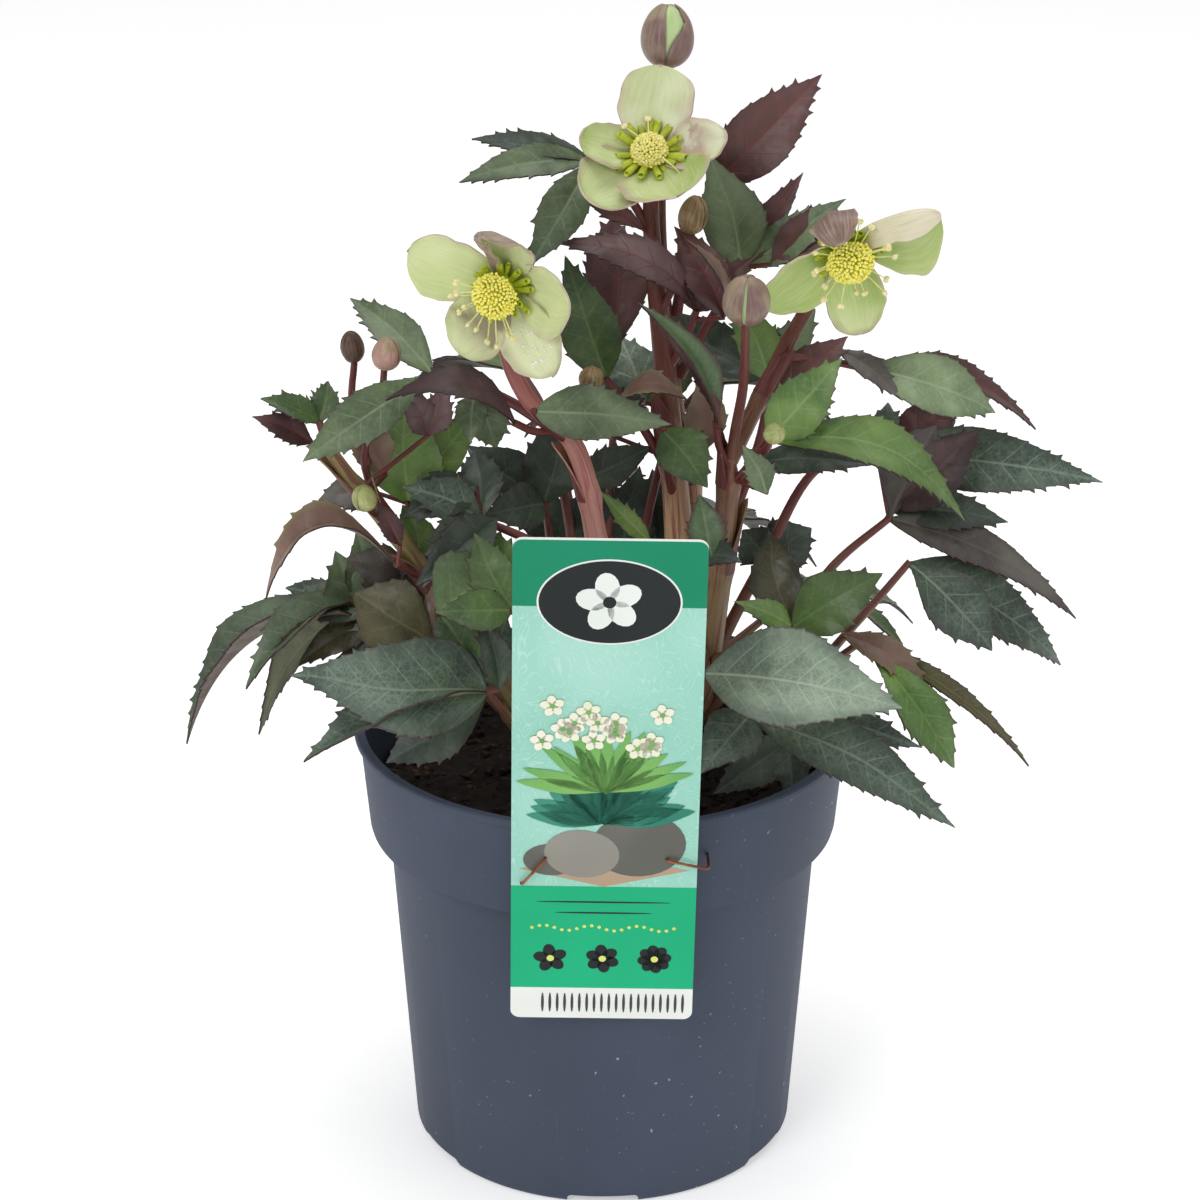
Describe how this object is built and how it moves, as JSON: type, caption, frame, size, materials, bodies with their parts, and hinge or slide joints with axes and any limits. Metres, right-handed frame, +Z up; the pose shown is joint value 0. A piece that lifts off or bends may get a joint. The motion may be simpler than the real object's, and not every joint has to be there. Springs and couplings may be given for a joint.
{
  "type": "potted hellebore plant",
  "caption": "Flowering hellebore with toothed compound leaves, open blooms and buds, growing in soil in a round tapered nursery pot with a collar and a hanging care label",
  "frame": {"origin": "centre of the pot's underside, on the surface it stands on", "axes": "+Z up, along the plant's height, the longest side; the care label is on the front, -Y"},
  "size_m": [0.2554, 0.1927, 0.3265],
  "materials": {
    "pot": "smooth matt blue-grey moulding with faint scuffs",
    "soil": "dark moist potting soil",
    "label": "printed plastic card, satin",
    "copper": "copper-coloured wire",
    "stems": "fleshy stems, streaked red-brown over green",
    "leaf_green": "dark grey-green leaf with paler net veins",
    "leaf_silver": "silvery green leaf with pale net veins",
    "leaf_bright": "young green leaf, satin",
    "leaf_purple": "purple-brown bract, satin",
    "sepal": "pale green sepals flushed pinkish brown, satin",
    "nectary": "bright yellow-green, glossy",
    "stamen": "pale yellow, powdery anthers",
    "bud_pink": "pinkish brown bud with green seams",
    "bud_green": "young green bud"
  },
  "bodies": {
    "root": {"pot": "pot", "soil": "soil", "label": "label", "staple_left": "copper", "staple_right": "copper", "stems": "stems", "leaf_crown_left": "leaf_green", "bract_arch": "leaf_purple", "leaf_behind_bloom": "leaf_green", "bract_top_right": "leaf_purple", "leaf_top_right": "leaf_green", "leaf_middle_arch": "leaf_green", "leaf_middle_back": "leaf_bright", "leaf_right_bright": "leaf_bright", "leaf_right_upper": "leaf_green", "leaf_right_far": "leaf_green", "leaf_right_middle": "leaf_purple", "leaf_right_low": "leaf_green", "leaf_right_inner": "leaf_green", "leaf_right_silver": "leaf_silver", "leaf_right_bottom": "leaf_silver", "leaf_pot_right": "leaf_green", "leaf_right_hanging": "leaf_bright", "leaf_left_upper": "leaf_green", "bract_left_arch": "leaf_purple", "leaf_left_crest": "leaf_bright", "bract_left_brown": "leaf_purple", "leaf_left_bright": "leaf_bright", "leaf_left_middle": "leaf_green", "leaf_left_far": "leaf_green", "leaf_left_silver": "leaf_silver", "leaf_left_inner": "leaf_green", "leaf_left_label": "leaf_green", "leaf_centre_front": "leaf_green", "leaf_centre_low": "leaf_bright", "leaf_behind_left": "leaf_green", "leaf_back_1": "leaf_green", "leaf_back_2": "leaf_green", "leaf_back_3": "leaf_purple", "leaf_back_4": "leaf_green", "leaf_back_5": "leaf_green", "leaf_back_6": "leaf_purple", "leaf_back_7": "leaf_green", "bloom_top_sepals": "sepal", "bloom_top_nectaries": "nectary", "bloom_top_stamens": "stamen", "bloom_left_sepals": "sepal", "bloom_left_nectaries": "nectary", "bloom_left_stamens": "stamen", "bloom_right_sepals": "sepal", "bloom_right_nectaries": "nectary", "bloom_right_stamens": "stamen", "bud_top": "bud_pink", "bud_round": "bud_pink", "bud_small_right": "bud_green", "bud_under_top": "bud_green", "bud_middle": "bud_pink", "bud_left_pink": "bud_pink", "bud_left_dark": "bud_pink", "bud_left_low": "bud_green"}
  },
  "joints": []
}
